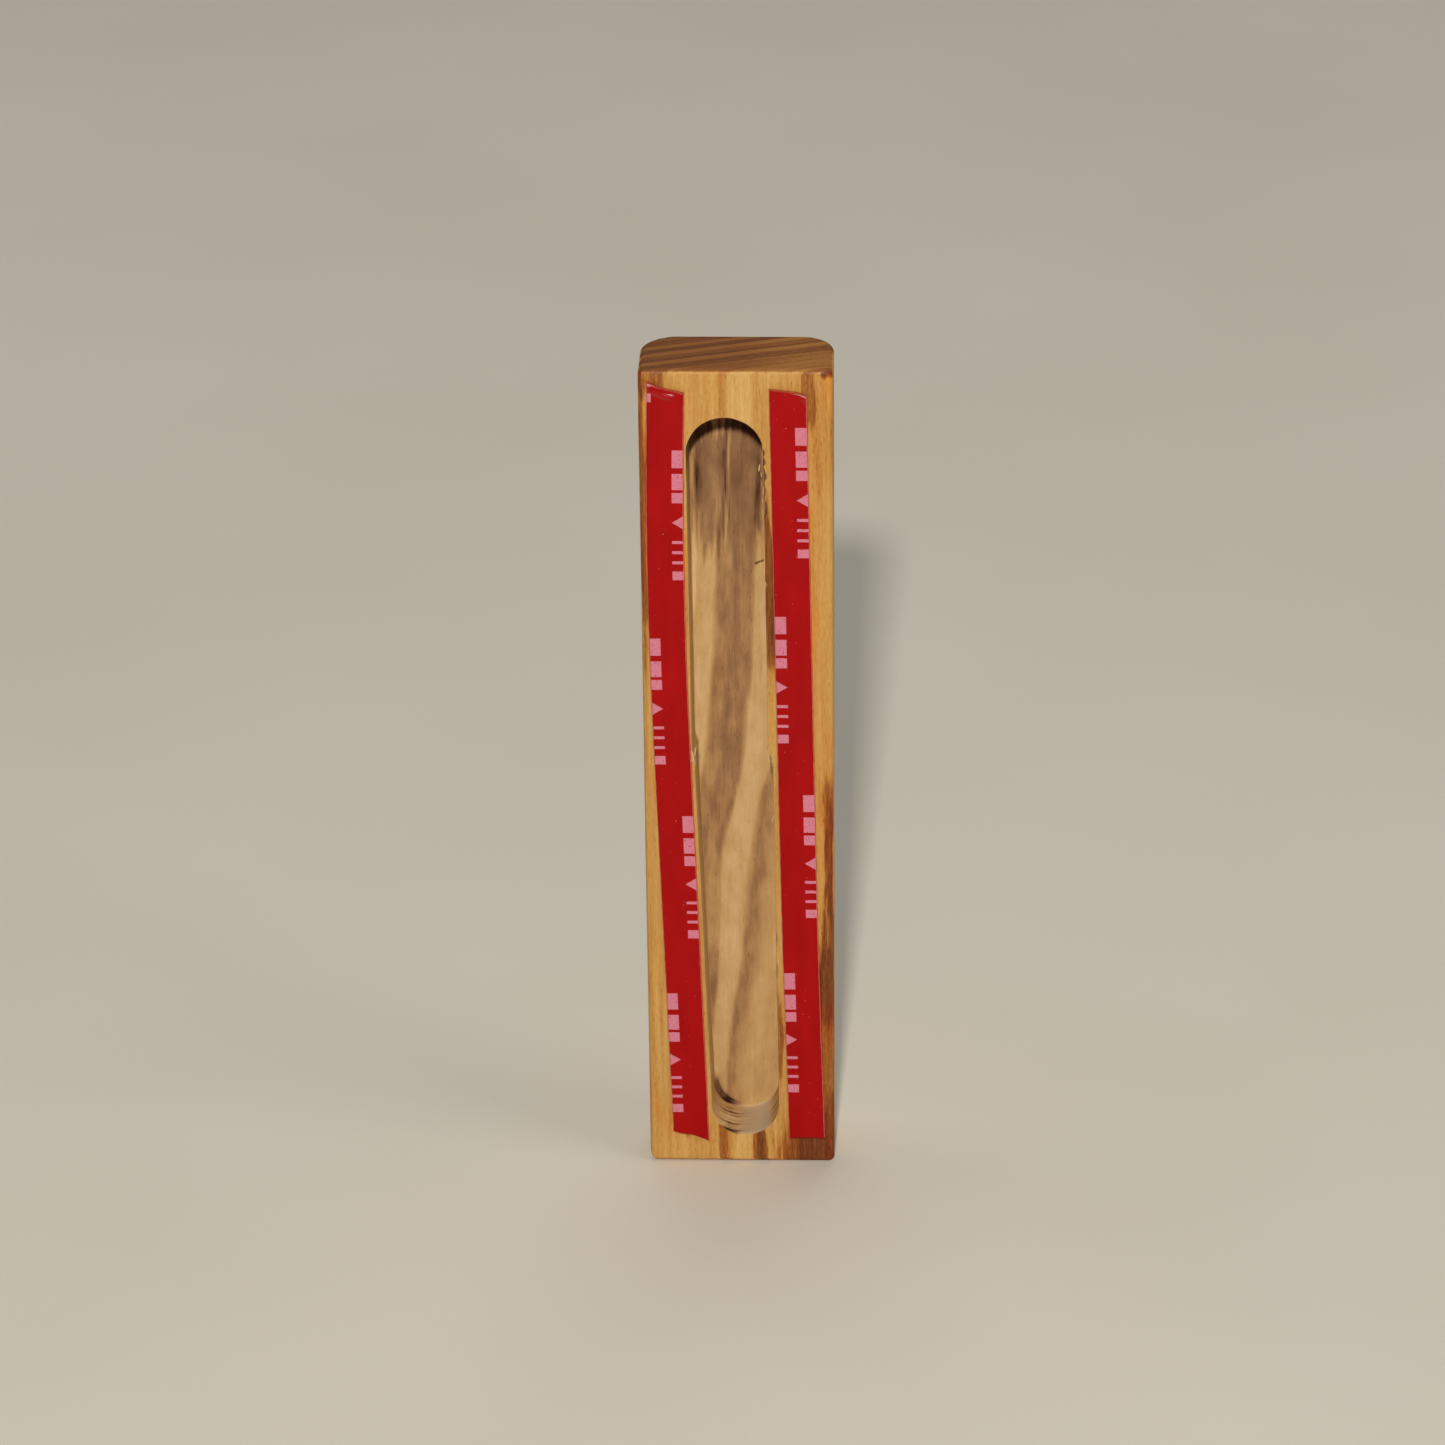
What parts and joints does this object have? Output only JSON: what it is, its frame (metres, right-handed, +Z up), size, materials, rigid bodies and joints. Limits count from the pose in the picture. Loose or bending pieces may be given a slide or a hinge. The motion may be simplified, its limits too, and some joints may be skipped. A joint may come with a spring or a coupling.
{
  "type": "mezuzah case",
  "caption": "Slim wooden mezuzah case, open at the back, with a round-ended pocket for a rolled scroll and two strips of covered foam tape.",
  "frame": {"origin": "on the ground, under the middle of the case and its tape", "axes": "+Z up along the case's length, -Y out of its back, where the pocket and the tape are, +X to the right as the back is looked at"},
  "size_m": [0.03, 0.0162, 0.1385],
  "materials": {
    "wood": "satin",
    "foam": "satin",
    "liner": "gloss"
  },
  "bodies": {
    "case": {"case_body": "wood", "foam_tape_left": "foam", "foam_tape_right": "foam"},
    "liner_left": {"release_liner_left": "liner"},
    "liner_right": {"release_liner_right": "liner"}
  },
  "joints": [
    {"name": "liner_left_peel", "type": "slide", "parent": "case", "child": "liner_left", "axis": [0, -1, 0], "range_m": [0, 0.03]},
    {"name": "liner_right_peel", "type": "slide", "parent": "case", "child": "liner_right", "axis": [0, -1, 0], "range_m": [0, 0.03]}
  ]
}
